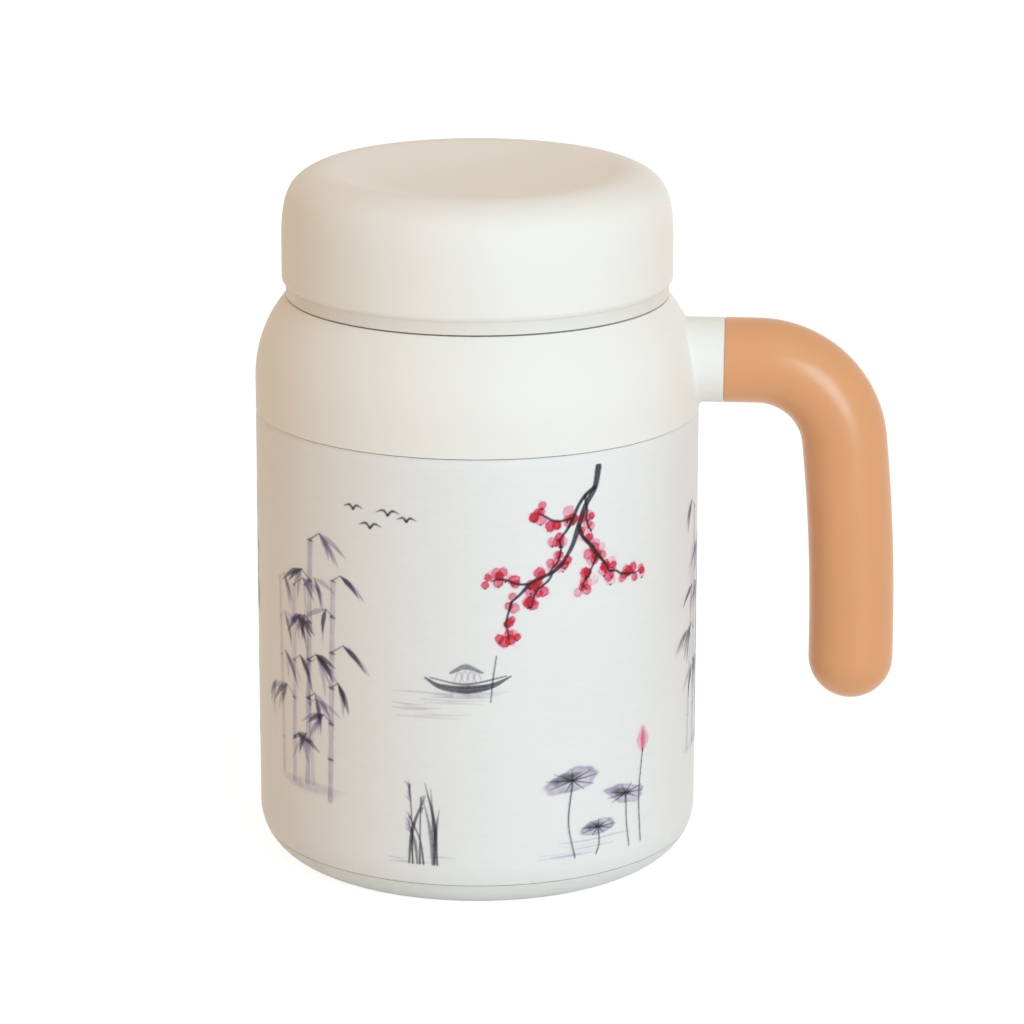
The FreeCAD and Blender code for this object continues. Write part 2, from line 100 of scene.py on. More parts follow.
def bumpChain(tree, shader, layers):
    # layers of (height output, strength, distance in metres), one on top of the other
    last = None
    for height, strength, distance in layers:
        bump = addNode(tree, "ShaderNodeBump", {"Strength": strength, "Distance": distance})
        tree.links.new(height, bump.inputs["Height"])
        if last:
            tree.links.new(last, bump.inputs["Normal"])
        last = bump.outputs["Normal"]
    tree.links.new(last, shader.inputs["Normal"])


def shade(colour, amount):
    return tuple(min(1.0, c * amount) for c in colour)


coatLook = {
    "colour": (0.811, 0.832, 0.836), "mottle": 0.014, "cloudScale": 38,
    "roughness": (0.47, 0.56), "specular": 0.35,
    "grainScale": 2600, "grainBump": 0.10, "grainHeight": 0.06 * mm,
    "dashScale": 260, "dashStretch": (1, 1, 5), "dashTone": 0.988, "dashEdges": (0.36, 0.58),
    "dashBump": 0.05, "dashHeight": 0.12 * mm,
}


def coatNodes(tree, shader):
    # matt powder coat: fine grain over faint level dashes left by the spraying
    grain = mappedNoise(tree, coatLook["grainScale"], detail=2.0)
    dashes = mappedNoise(tree, coatLook["dashScale"], coatLook["dashStretch"], detail=2.0)
    clouds = mappedNoise(tree, coatLook["cloudScale"], detail=2.0)
    colour = coatLook["colour"]
    base = tones(tree, clouds.outputs["Fac"], shade(colour, 1 - coatLook["mottle"]), colour)
    faint = tones(tree, dashes.outputs["Fac"], (coatLook["dashTone"],) * 3, (1, 1, 1), *coatLook["dashEdges"])
    tree.links.new(spread(tree, grain.outputs["Fac"], *coatLook["roughness"]), shader.inputs["Roughness"])
    bumpChain(tree, shader, [(dashes.outputs["Fac"], coatLook["dashBump"], coatLook["dashHeight"]),
                             (grain.outputs["Fac"], coatLook["grainBump"], coatLook["grainHeight"])])
    shader.inputs["Specular IOR Level"].default_value = coatLook["specular"]
    return multiplied(tree, base, faint)


def powderCoat():
    material, tree, shader = newMaterial("powder coat")
    tree.links.new(coatNodes(tree, shader), shader.inputs["Base Color"])
    return material


def printedCoat():
    # the same coat, darkened by the printed inks held in the ink attribute
    material, tree, shader = newMaterial("printed coat")
    ink = addNode(tree, "ShaderNodeAttribute", attribute_name="ink")
    inked = multiplied(tree, coatNodes(tree, shader), ink.outputs["Color"])
    tree.links.new(inked, shader.inputs["Base Color"])
    return material


plasticLook = {
    "driftScale": 26, "mottle": 0.015, "smoother": 0.04, "rougher": 0.05,
    "peelScale": 420, "peelHeight": 0.10 * mm,
    "fineScale": 3400, "fineBump": 0.06, "fineHeight": 0.04 * mm,
}


def mouldedPlastic(name, colour, roughness, peel=0.10, specular=0.45):
    # satin moulded plastic: slow colour drift, orange peel and a very fine texture
    material, tree, shader = newMaterial(name)
    drift = mappedNoise(tree, plasticLook["driftScale"], detail=3.0)
    peelNoise = mappedNoise(tree, plasticLook["peelScale"], detail=1.5)
    fine = mappedNoise(tree, plasticLook["fineScale"], detail=2.0)
    tree.links.new(tones(tree, drift.outputs["Fac"], shade(colour, 1 - plasticLook["mottle"]), colour),
                   shader.inputs["Base Color"])
    low, high = roughness - plasticLook["smoother"], roughness + plasticLook["rougher"]
    tree.links.new(spread(tree, peelNoise.outputs["Fac"], low, high), shader.inputs["Roughness"])
    bumpChain(tree, shader, [(peelNoise.outputs["Fac"], peel, plasticLook["peelHeight"]),
                             (fine.outputs["Fac"], plasticLook["fineBump"], plasticLook["fineHeight"])])
    shader.inputs["Specular IOR Level"].default_value = specular
    return material


steelLook = {
    "lineScale": 900, "lineTone": 0.90, "lineBump": 0.08, "lineHeight": 0.03 * mm,
    "smudgeScale": 60, "smoother": 0.05, "rougher": 0.08,
}


def brushedSteel(name, colour, roughness, stretch):
    # drawn and polished stainless steel with fine lines round it
    material, tree, shader = newMaterial(name)
    lines = mappedNoise(tree, steelLook["lineScale"], stretch, detail=4.0, roughness=0.6)
    smudge = mappedNoise(tree, steelLook["smudgeScale"], detail=3.0)
    tree.links.new(tones(tree, lines.outputs["Fac"], shade(colour, steelLook["lineTone"]), colour),
                   shader.inputs["Base Color"])
    low, high = roughness - steelLook["smoother"], roughness + steelLook["rougher"]
    tree.links.new(spread(tree, smudge.outputs["Fac"], low, high), shader.inputs["Roughness"])
    bumpChain(tree, shader, [(lines.outputs["Fac"], steelLook["lineBump"], steelLook["lineHeight"])])
    shader.inputs["Metallic"].default_value = 1.0
    return material


rubberLook = {
    "driftScale": 45, "driftTone": 0.96, "grainBump": 0.15, "grainHeight": 0.05 * mm, "uneven": 0.06,
    "scatterReach": 2 * mm,
}


def softRubber(name, colour, roughness, grainScale=1800, scatter=0.0):
    material, tree, shader = newMaterial(name)
    grain = mappedNoise(tree, grainScale, detail=3.0)
    drift = mappedNoise(tree, rubberLook["driftScale"], detail=2.0)
    tree.links.new(tones(tree, drift.outputs["Fac"], shade(colour, rubberLook["driftTone"]), colour),
                   shader.inputs["Base Color"])
    low, high = roughness - rubberLook["uneven"], roughness + rubberLook["uneven"]
    tree.links.new(spread(tree, grain.outputs["Fac"], low, high), shader.inputs["Roughness"])
    bumpChain(tree, shader, [(grain.outputs["Fac"], rubberLook["grainBump"], rubberLook["grainHeight"])])
    shader.inputs["Subsurface Weight"].default_value = scatter
    shader.inputs["Subsurface Radius"].default_value = (rubberLook["scatterReach"],) * 3
    return material


foamLook = {
    "cellScale": 1400.0, "dark": (0.70, 0.69, 0.66), "light": (0.86, 0.86, 0.84), "roughness": 0.9,
    "bump": 0.5, "height": 0.2 * mm,
}


def porousFoam():
    material, tree, shader = newMaterial("foam")
    where = addNode(tree, "ShaderNodeTexCoord")
    cells = addNode(tree, "ShaderNodeTexVoronoi", {"Scale": foamLook["cellScale"]})
    tree.links.new(where.outputs["Object"], cells.inputs["Vector"])
    # painted shade: the colour darkens into the pits at the cell middles, where the bump sinks
    tree.links.new(tones(tree, cells.outputs["Distance"], foamLook["dark"], foamLook["light"], 0.0, 0.5),
                   shader.inputs["Base Color"])
    bumpChain(tree, shader, [(cells.outputs["Distance"], foamLook["bump"], foamLook["height"])])
    shader.inputs["Roughness"].default_value = foamLook["roughness"]
    return material


glassLook = {
    "swirlScale": 500, "dark": (0.10, 0.12, 0.11), "light": (0.22, 0.25, 0.23), "roughness": (0.12, 0.3),
}


def fritGlass():
    # the dull glass bead that closes the evacuation hole
    material, tree, shader = newMaterial("seal glass")
    swirl = mappedNoise(tree, glassLook["swirlScale"], detail=4.0)
    tree.links.new(tones(tree, swirl.outputs["Fac"], glassLook["dark"], glassLook["light"]),
                   shader.inputs["Base Color"])
    tree.links.new(spread(tree, swirl.outputs["Fac"], *glassLook["roughness"]), shader.inputs["Roughness"])
    return material


coat = powderCoat()
inkedCoat = printedCoat()
ivory = mouldedPlastic("ivory plastic", (0.857, 0.858, 0.829), roughness=0.52, specular=0.3)
# painted shade: the same plastic as the ivory, made darker so the lid's band under the cap's edge looks
# shaded
shadedInnerPlastic = mouldedPlastic("inner plastic", (0.790, 0.785, 0.750), roughness=0.48, peel=0.06, specular=0.3)
gripPlastic = mouldedPlastic("grip plastic", (0.712, 0.340, 0.147), roughness=0.31, peel=0.06, specular=0.62)
corePlastic = mouldedPlastic("core plastic", (0.16, 0.16, 0.16), roughness=0.5)
cupSteel = brushedSteel("cup steel", (0.74, 0.735, 0.72), roughness=0.24, stretch=(1, 1, 9))
infuserSteel = brushedSteel("infuser steel", (0.77, 0.765, 0.75), roughness=0.20, stretch=(1, 1, 9))
screwSteel = brushedSteel("screw steel", (0.66, 0.66, 0.65), roughness=0.3, stretch=(6, 1, 1))
baseRubber = softRubber("base rubber", (0.780, 0.810, 0.780), roughness=0.58)
silicone = softRubber("silicone", (0.80, 0.80, 0.77), roughness=0.46, grainScale=900, scatter=0.15)

finishes = {
    coat: ["outer_shell"],
    ivory: ["collar", "lid_cap"],
    shadedInnerPlastic: ["neck_ring", "infuser_rim", "lid_liner"],
    gripPlastic: ["handle_grip"],
    corePlastic: ["handle_core"],
    cupSteel: ["inner_liner", "liner_floor", "shell_bottom", "getter"],
    infuserSteel: ["infuser_basket", "infuser_floor"],
    screwSteel: ["handle_screw", "handle_washer"],
    baseRubber: ["base_pad"],
    silicone: ["collar_gasket", "neck_gasket", "infuser_gasket", "lid_seal"],
    porousFoam(): ["lid_foam"],
    fritGlass(): ["vacuum_seal"],
}
for material, names in finishes.items():
    for name in names:
        nodes[name].data.materials.clear()
        nodes[name].data.materials.append(material)
print("finishes on the frame's nodes:", len(finishes))


def addPiece(name, bm, material, body, closed=True):
    if closed:
        bmesh.ops.recalc_face_normals(bm, faces=bm.faces)
    mesh = bpy.data.meshes.new(name)
    bm.to_mesh(mesh)
    bm.free()
    piece = bpy.data.objects.new(name, mesh)
    bpy.context.scene.collection.objects.link(piece)
    mesh.materials.append(material)
    for face in mesh.polygons:
        face.use_smooth = True
    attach(piece, body)
    return piece


threadSize = {
    "rise": 0.62 * mm, "foot": 1.7 * mm, "crest": 0.8 * mm, "pitch": 3.2 * mm, "sink": 0.08 * mm,
    "starts": 2, "turns": 1.1, "stepsPerTurn": 96, "fade": 0.12,
    "neckRadius": 34.06 * mm, "neckDrop": 5.2 * mm,
    "skirtRadius": 35.56 * mm, "skirtRaise": 2.0 * mm, "skirtAngle": 0.6,
}


def threadRidge(radius, bottom, side, startAngle):
    # one ridge wound round a wall of this radius; side is 1 outside the wall and -1 inside it
    turns, fade = threadSize["turns"], threadSize["fade"]
    steps, climb = int(threadSize["stepsPerTurn"] * turns), threadSize["pitch"] * turns
    foot, crest = threadSize["foot"] / 2, threadSize["crest"] / 2
    wall, top = radius - side * threadSize["sink"], radius + side * threadSize["rise"]
    bm = bmesh.new()
    outline = [(wall, -foot), (top, -crest), (top, crest), (wall, foot)]
    verts = [bm.verts.new((r, 0, bottom + z)) for r, z in outline]
    face = bm.faces.new(verts)
    bmesh.ops.spin(bm, geom=[face, *face.edges, *verts], cent=(0, 0, 0), axis=(0, 0, 1), steps=steps,
                   angle=fullTurn * turns, dvec=(0, 0, climb / steps), use_duplicate=False)
    for vert in bm.verts:
        # the ridge runs out into the wall at both ends
        along = (vert.co.z - bottom) / climb
        ease = min(1.0, max(0.0, along / fade), max(0.0, (1 - along) / fade))
        reach = math.hypot(vert.co.x, vert.co.y)
        target = wall + (reach - wall) * ease
        vert.co.x *= target / reach
        vert.co.y *= target / reach
    bmesh.ops.rotate(bm, verts=bm.verts, cent=(0, 0, 0), matrix=Matrix.Rotation(startAngle, 3, "Z"))
    return bm


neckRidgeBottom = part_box("neck_ring")[1].z - threadSize["neckDrop"]
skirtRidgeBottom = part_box("lid_liner")[0].z + threadSize["skirtRaise"]
for index in range(threadSize["starts"]):
    start = index * fullTurn / threadSize["starts"]
    ridge = threadRidge(threadSize["neckRadius"], neckRidgeBottom, 1, start)
    addPiece("neck_thread_%d" % (index + 1), ridge, shadedInnerPlastic, "mug")
    ridge = threadRidge(threadSize["skirtRadius"], skirtRidgeBottom, -1, threadSize["skirtAngle"] + start)
    addPiece("lid_thread_%d" % (index + 1), ridge, shadedInnerPlastic, "lid")
print("threads wound")


# sizes in millimetres; an ink is how strongly it takes up red, green and blue
printLook = {
    "radius": 45.03, "cell": 0.18, "edge": 0.22, "bare": 0.995, "grain": 0.22, "grainSize": 0.4,
    "inks": {
        "black": (2.90, 2.85, 2.65), "violet": (0.66, 0.76, 0.50),
        "red": (0.25, 2.60, 2.10), "pink": (0.08, 1.00, 0.70),
    },
}


def newSheet(look, seed):
    # a sheet to paint on, in millimetres: u runs to the right and v runs up
    cell = printLook["cell"]
    u, v = np.meshgrid(np.arange(0, look["width"], cell), np.arange(0, look["height"], cell))
    return {"u": u, "v": v, "ink": np.zeros((*u.shape, 3)), "rng": np.random.default_rng(seed)}


def nearby(sheet, x, y, reach):
    # the cells of the sheet within reach of a point
    cell = printLook["cell"]
    rows = slice(max(0, int((y - reach) / cell)), max(0, int((y + reach) / cell) + 2))
    columns = slice(max(0, int((x - reach) / cell)), max(0, int((x + reach) / cell) + 2))
    return rows, columns


def cloud(rng, u, v, size):
    # smooth random tone from 0 to 1 with patches of this size
    grid = rng.random((int(np.ptp(v) / size) + 3, int(np.ptp(u) / size) + 3))
    x, y = (u - u.min()) / size, (v - v.min()) / size
    column, row = x.astype(int), y.astype(int)
    x, y = x - column, y - row
    x, y = x * x * (3 - 2 * x), y * y * (3 - 2 * y)
    lower = grid[row, column] * (1 - x) + grid[row, column + 1] * x
    upper = grid[row + 1, column] * (1 - x) + grid[row + 1, column + 1] * x
    return lower * (1 - y) + upper * y


brushLook = {"step": 0.12, "hairs": 9, "loadSpots": 7, "load": (0.75, 1.0), "finest": 0.01}


def curveThrough(points):
    # close spots on a smooth curve through the points
    spots = np.array(points, float)
    spots = np.vstack([2 * spots[0] - spots[1], spots, 2 * spots[-1] - spots[-2]])
    runs = []
    for a, b, c, d in zip(spots, spots[1:], spots[2:], spots[3:]):
        count = max(2, int(math.dist(b, c) / brushLook["step"]))
        t = np.linspace(0, 1, count, endpoint=False)[:, None]
        slope, bow, swing = (c - a) / 2, a - 2.5 * b + 2 * c - d / 2, 1.5 * (b - c) + (d - a) / 2
        runs.append(b + slope * t + bow * t ** 2 + swing * t ** 3)
    return np.vstack([*runs, spots[-2:-1]])


def stroke(sheet, points, widths, tone, ink, dry=0.0):
    # one pull of the brush; dry is how far its hairs part
    rng, edge = sheet["rng"], printLook["edge"]
    path = curveThrough(points)
    along = np.linspace(0, 1, len(path))
    halves = np.interp(along, np.linspace(0, 1, len(widths)), widths) / 2
    hairs = rng.random(brushLook["hairs"])
    spots = brushLook["loadSpots"]
    load = np.interp(along, np.linspace(0, 1, spots), rng.uniform(*brushLook["load"], spots))
    ways = np.gradient(path, axis=0)
    ways /= np.hypot(*ways.T)[:, None]
    layer = np.zeros(sheet["u"].shape)
    for (x, y), (wayX, wayY), half, wet in zip(path, ways, halves, load):
        window = nearby(sheet, x, y, half + edge)
        du, dv = sheet["u"][window] - x, sheet["v"][window] - y
        mark = np.clip((half - np.hypot(du, dv)) / edge + 0.5, 0, 1) * wet
        if dry:
            side = np.clip((dv * wayX - du * wayY) / (half + brushLook["finest"]), -1, 1)
            mark = mark * (1 - dry * np.interp(side, np.linspace(-1, 1, len(hairs)), hairs))
        layer[window] = np.maximum(layer[window], mark)
    sheet["ink"] += tone * layer[..., None] * np.array(printLook["inks"][ink])


washLook = {
    "lobes": (2, 3, 5, 8), "wobble": (0.01, 0.07), "reach": 0.7, "rimPlace": 0.86, "rimWidth": 0.11,
    "patchShare": 0.35, "patchLeast": 0.3, "patchTone": 0.55, "patchSpan": 0.9,
}


def wash(sheet, x, y, long, wide, turn, tone, ink, rim=0.5, soft=0.16):
    # a pool of thin ink with an uneven outline that dried darker at its rim
    rng = sheet["rng"]
    window = nearby(sheet, x, y, washLook["reach"] * max(long, wide))
    u, v = sheet["u"][window], sheet["v"][window]
    if not u.size:
        return
    du, dv = u - x, v - y
    a = (du * math.cos(turn) + dv * math.sin(turn)) * 2 / long
    b = (dv * math.cos(turn) - du * math.sin(turn)) * 2 / wide
    out, way = np.hypot(a, b), np.arctan2(b, a)
    for lobes in washLook["lobes"]:
        out = out * (1 + rng.uniform(*washLook["wobble"]) * np.sin(lobes * way + rng.uniform(0, fullTurn)))
    fill = np.clip((1 - out) / soft, 0, 1)
    dried = np.exp(-((out - washLook["rimPlace"]) / washLook["rimWidth"]) ** 2)
    patchSize = washLook["patchShare"] * min(long, wide) + washLook["patchLeast"]
    patches = washLook["patchTone"] + washLook["patchSpan"] * cloud(rng, u, v, patchSize)
    amount = tone * fill * (patches * (1 - rim) + rim * dried)
    sheet["ink"][window] += amount[..., None] * np.array(printLook["inks"][ink])


def wrapPrint(name, sheet, angle, bottom):
    # puts the painted cells round the mug as a thin skin just clear of the coat
    grain = cloud(sheet["rng"], sheet["u"], sheet["v"], printLook["grainSize"])[..., None] - 0.5
    ink = np.exp(-sheet["ink"] * (1 + printLook["grain"] * grain))
    rows, columns = ink.shape[:2]
    bm = bmesh.new()
    bmesh.ops.create_grid(bm, x_segments=columns - 1, y_segments=rows - 1, size=0.5)
    shades = bm.verts.layers.float_color.new("ink")
    radius, cell = printLook["radius"], printLook["cell"]
    start = math.radians(angle + cameraPlace["azimuth"] - 90)
    for vert in bm.verts:
        column, row = round((vert.co.x + 0.5) * (columns - 1)), round((vert.co.y + 0.5) * (rows - 1))
        vert[shades] = (*ink[row, column], 1)
        around = start + column * cell / radius
        vert.co = (radius * mm * math.cos(around), radius * mm * math.sin(around), (bottom + row * cell) * mm)
    bare = [face for face in bm.faces if min(min(vert[shades]) for vert in face.verts) > printLook["bare"]]
    bmesh.ops.delete(bm, geom=bare, context="FACES")
    addPiece(name, bm, inkedCoat, "mug", closed=False)
    print(name, "printed")


def away(point, heading, reach):
    return (point[0] + reach * math.cos(heading), point[1] + reach * math.sin(heading))


twigLook = {
    "bends": 5, "wander": 0.42, "taper": (1, 0.75, 0.8, 0.4), "tone": 1.35, "dry": 0.35,
    "forkEvery": 2, "forkTurn": 0.75, "forkScale": 0.62,
}


def paintTwig(sheet, start, heading, length, width, forks, tips):
    # a crooked twig that forks; places for berries are collected in tips
    rng, scale = sheet["rng"], twigLook["forkScale"]
    points = [start]
    for bend in range(twigLook["bends"]):
        heading += rng.uniform(-1, 1) * twigLook["wander"]
        points.append(away(points[-1], heading, length / twigLook["bends"]))
        if forks and bend % twigLook["forkEvery"] == 0:
            turn = twigLook["forkTurn"] * (1 if (bend + forks) % 4 < 2 else -1)
            paintTwig(sheet, points[-1], heading + turn, length * scale, width * scale, forks - 1, tips)
    widths = [width * part for part in twigLook["taper"]]
    stroke(sheet, points, widths, twigLook["tone"], "black", twigLook["dry"])
    tips.extend([points[-1], points[-3]])


sprigLook = {
    "width": 44, "height": 38, "startAcross": 0.62, "startDrop": 0.6, "heading": -2.0,
    "length": 20.5, "twig": 1.35, "forks": 2, "bunch": (3, 7), "spreadOut": 1.9, "berry": (1.5, 2.4),
    "halo": (1.2, 1.15), "haloTone": (0.4, 1.0), "body": (1, 0.95), "bodyTone": (0.4, 1.5), "bodyShare": 0.75,
    "eye": (0.55, 0.45), "eyeDrop": 0.48, "eyeShare": 0.4,
}


def paintSprig(seed):
    # berries on bare twigs that hang in from the top edge
    look = sprigLook
    sheet = newSheet(look, seed)
    rng, tips = sheet["rng"], []
    start = (look["width"] * look["startAcross"], look["height"] - look["startDrop"])
    paintTwig(sheet, start, look["heading"], look["length"], look["twig"], look["forks"], tips)
    for x, y in tips:
        for berry in range(rng.integers(*look["bunch"])):
            spot = away((x, y), rng.uniform(0, fullTurn), look["spreadOut"] * math.sqrt(rng.random()))
            size = rng.uniform(*look["berry"])
            halo, body = [size * part for part in look["halo"]], [size * part for part in look["body"]]
            wash(sheet, *spot, *halo, rng.uniform(0, 3), rng.uniform(*look["haloTone"]), "pink", rim=0.3)
            if rng.random() < look["bodyShare"]:
                wash(sheet, *spot, *body, rng.uniform(0, 3), rng.uniform(*look["bodyTone"]), "red", rim=0.6)
            if rng.random() < look["eyeShare"]:
                eye = away(spot, -math.pi / 2, size * look["eyeDrop"])
                wash(sheet, *eye, *look["eye"], turn=0, tone=1.0, ink="black", rim=0.1)
    return sheet


bambooLook = {
    "width": 40, "height": 58, "grove": 17, "stems": 5, "apart": 0.618, "foot": (1, 4), "tall": (36, 50),
    "stem": 1.5, "lean": (-0.05, 0.07), "farWidth": 0.55, "nearWidth": 0.45, "farTone": 0.35, "nearTone": 0.5,
    "dry": 0.5, "joint": 8.5, "jointSpread": (0.85, 1.1), "waist": 0.85, "knuckle": 1.1, "gap": 0.5,
    "ring": 0.6, "ringDrop": (0.2, 0.3), "ringWidths": [0.1, 0.4, 0.1], "ringTone": 0.6,
    "leafyFrom": 0.3, "twig": (1.5, 3.5), "twigTurn": 1.0, "twigWidths": [0.35, 0.2], "twigTone": 0.5,
    "leaves": (3, 6), "leaf": (5.0, 8.5), "leafTurn": (0.1, 1.25), "leafBow": 0.12, "leafDry": 0.3,
    "leafWidths": [0.15, 1.15, 0.8, 0.05], "farLeafTone": 0.35, "nearLeafTone": 0.65,
    "blackShare": 0.4, "leafInks": {"black": 0.75, "violet": 1.2},
}


def paintLeaves(sheet, point, side, count, tone):
    rng, look = sheet["rng"], bambooLook
    for leaf in range(count):
        heading = -math.pi / 2 + side * rng.uniform(*look["leafTurn"])
        length = rng.uniform(*look["leaf"])
        middle = away(point, heading + side * look["leafBow"], length / 2)
        tip = away(point, heading, length)
        ink = "black" if rng.random() < look["blackShare"] * tone else "violet"
        strength = look["leafInks"][ink] * tone
        stroke(sheet, [point, middle, tip], look["leafWidths"], strength, ink, look["leafDry"])


def paintJoint(sheet, x, y, near, width):
    # the dark ring between two lengths of a stem
    look = bambooLook
    ring, (leftDrop, rightDrop) = width * look["ring"], look["ringDrop"]
    ends = [(x - ring, y - leftDrop), (x + ring, y - rightDrop)]
    stroke(sheet, ends, look["ringWidths"], near * look["ringTone"], "black")


def paintBamboo(seed):
    # stems stand behind one another, the far ones paler
    look = bambooLook
    sheet = newSheet(look, seed)
    rng = sheet["rng"]
    for stem in range(look["stems"]):
        near = (stem + 1) / look["stems"]
        x = look["width"] / 2 + look["grove"] * ((stem * look["apart"]) % 1 - 0.5) + rng.uniform(-1, 1)
        lean = rng.uniform(*look["lean"])
        y, top = rng.uniform(*look["foot"]), rng.uniform(*look["tall"])
        width = look["stem"] * (look["farWidth"] + look["nearWidth"] * near)
        tone = look["farTone"] + look["nearTone"] * near
        widths = [width * look["knuckle"], width * look["waist"], width * look["knuckle"]]
        while y < top:
            joint = look["joint"] * rng.uniform(*look["jointSpread"])
            end = (x + lean * joint, y + joint - look["gap"])
            stroke(sheet, [(x, y), end], widths, tone, "violet", look["dry"])
            x, y = x + lean * joint, y + joint
            paintJoint(sheet, x, y, near, width)
            if y > look["leafyFrom"] * top:
                side = 1 if rng.random() < 0.5 else -1
                twig = away((x, y), math.pi / 2 - side * look["twigTurn"], rng.uniform(*look["twig"]))
                stroke(sheet, [(x, y), twig], look["twigWidths"], look["twigTone"] * near, "black")
                leafTone = look["farLeafTone"] + look["nearLeafTone"] * near
                paintLeaves(sheet, twig, side, rng.integers(*look["leaves"]), leafTone)
    middle = look["width"] / 2
    wash(sheet, middle, 2.6, long=20, wide=3.0, turn=0.05, tone=0.5, ink="violet", rim=0.3, soft=0.5)
    return sheet


waterLook = {
    "drop": 0.5, "step": 0.55, "waver": 0.2, "start": (0.02, 0.55), "length": (0.2, 0.42), "bow": 0.25,
    "thick": (0.2, 0.4), "tone": (0.3, 0.7),
}


def paintWater(sheet, y, lines, width):
    # faint level pulls of the brush
    rng, look = sheet["rng"], waterLook
    for line in range(lines):
        level = y - look["drop"] - look["step"] * line + rng.uniform(-look["waver"], look["waver"])
        x, length = rng.uniform(*look["start"]) * width, rng.uniform(*look["length"]) * width
        middle = (x + length / 2, level + rng.uniform(-look["bow"], look["bow"]))
        points = [(x, level), middle, (x + length, level)]
        stroke(sheet, points, [0.1, rng.uniform(*look["thick"]), 0.05], rng.uniform(*look["tone"]), "violet")


boatLook = {
    "width": 34, "height": 15, "waterLevel": 6.6, "waterLines": 11,
    "hull": [(8.5, 8.9), (11.5, 7.3), (16.5, 6.8), (21.5, 7.5), (25.5, 9.4)],
    "hullWidths": [0.3, 1.3, 1.7, 1.2, 0.2], "rail": [(9.5, 9.0), (16.5, 7.9), (24.6, 9.5)],
    "hoops": 4, "hoopStart": 14.2, "hoopStep": 1.2, "hoop": [(0, 8.1), (1.0, 10.6), (2.0, 8.3)],
    "roof": [(13.6, 10.2), (16.5, 11.5), (19.9, 10.3)], "pole": [(22.6, 13.6), (21.9, 8.6), (21.5, 4.2)],
    "shadow": (16.5, 5.6, 15, 1.6),
}


def paintBoat(seed):
    # an empty boat with a small hooped roof on still water
    look = boatLook
    sheet = newSheet(look, seed)
    paintWater(sheet, look["waterLevel"], look["waterLines"], look["width"])
    stroke(sheet, look["hull"], look["hullWidths"], tone=0.95, ink="black", dry=0.45)
    stroke(sheet, look["rail"], [0.15, 0.3, 0.15], tone=0.9, ink="black")
    for hoop in range(look["hoops"]):
        x = look["hoopStart"] + look["hoopStep"] * hoop
        arch = [(x + across, up) for across, up in look["hoop"]]
        stroke(sheet, arch, [0.3, 0.55, 0.3], tone=0.55, ink="violet", dry=0.3)
    stroke(sheet, look["roof"], [0.5, 1.2, 0.4], tone=0.6, ink="black", dry=0.5)
    stroke(sheet, look["pole"], [0.2, 0.25, 0.15], tone=0.8, ink="black")
    wash(sheet, *look["shadow"], turn=0, tone=0.55, ink="violet", rim=0.1, soft=0.5)
    return sheet


# each leaf is its middle across and up, its length and its tilt
pondLook = {
    "width": 32, "height": 28, "waterLevel": 5.2, "waterLines": 7,
    "leaves": [(8.5, 17.5, 12.5, 0.18), (21.5, 12.5, 10.5, -0.22), (14.5, 6.8, 8.5, 0.08)],
    "flat": 0.42, "footSpread": 1.5, "footLevel": 1.2, "kneeSpread": 1, "middleShift": (-0.12, 0.05),
    "middleSize": (0.62, 0.2), "veins": 9, "veinReach": (0.46, 0.19), "veinWaver": 0.12,
    "budStalk": [(26.2, 20.5), (25.2, 11.0), (25.8, 1.4)],
    "budHeart": [(26.2, 20.4), (26.2, 22.6), (26.3, 25.4)],
    "petals": (-0.5, 0, 0.5), "petalFoot": (26.2, 20.3), "petalBelly": (26.3, 22.4), "bellySpread": 1.9,
    "petalTip": (26.3, 25.6), "tipSpread": 0.5,
}


def paintLeaf(sheet, x, y, size, turn):
    # a broad floating leaf on a bent stalk
    rng, look = sheet["rng"], pondLook
    foot = (x + rng.uniform(-look["footSpread"], look["footSpread"]), look["footLevel"])
    knee = (x + rng.uniform(-look["kneeSpread"], look["kneeSpread"]), y / 2)
    stroke(sheet, [(x, y - 0.5), knee, foot], [0.35, 0.28, 0.3], tone=0.8, ink="black", dry=0.3)
    wash(sheet, x, y, long=size, wide=size * look["flat"], turn=turn, tone=0.95, ink="violet", rim=0.35)
    middle = (x + size * look["middleShift"][0], y + size * look["middleShift"][1])
    extent = [size * part for part in look["middleSize"]]
    wash(sheet, *middle, *extent, turn=turn, tone=0.45, ink="black", rim=0.1, soft=0.6)
    across, up = [size * part for part in look["veinReach"]]
    for vein in range(look["veins"]):
        way = turn + fullTurn * vein / look["veins"] + rng.uniform(-look["veinWaver"], look["veinWaver"])
        end = (x + across * math.cos(way), y + up * math.sin(way))
        stroke(sheet, [(x, y), end], [0.3, 0.2, 0.05], tone=0.75, ink="black")


def paintPond(seed):
    # floating leaves with one closed bud
    look = pondLook
    sheet = newSheet(look, seed)
    paintWater(sheet, look["waterLevel"], look["waterLines"], look["width"])
    for leaf in look["leaves"]:
        paintLeaf(sheet, *leaf)
    stroke(sheet, look["budStalk"], [0.3, 0.28, 0.3], tone=0.8, ink="black", dry=0.2)
    for side in look["petals"]:
        belly = (look["petalBelly"][0] + look["bellySpread"] * side, look["petalBelly"][1])
        tip = (look["petalTip"][0] + look["tipSpread"] * side, look["petalTip"][1])
        stroke(sheet, [look["petalFoot"], belly, tip], [0.5, 1.7, 0.15], tone=0.75, ink="pink", dry=0.35)
    stroke(sheet, look["budHeart"], [0.4, 0.9, 0.1], tone=0.5, ink="red", dry=0.4)
    return sheet


reedLook = {
    "width": 22, "height": 22, "waterLevel": 3.0, "waterLines": 4, "blades": 9, "clump": 3.0, "bow": 4.5,
    "tall": (9, 18.5), "footLevel": 1.0, "kneeAcross": 0.25, "kneeUp": 0.55, "plumeEvery": 3,
    "tufts": 8, "tuftStep": 0.45, "tuft": (0.9, 1.6), "rightWay": 0.9, "leftWay": 2.2, "tuftWaver": 0.5,
}


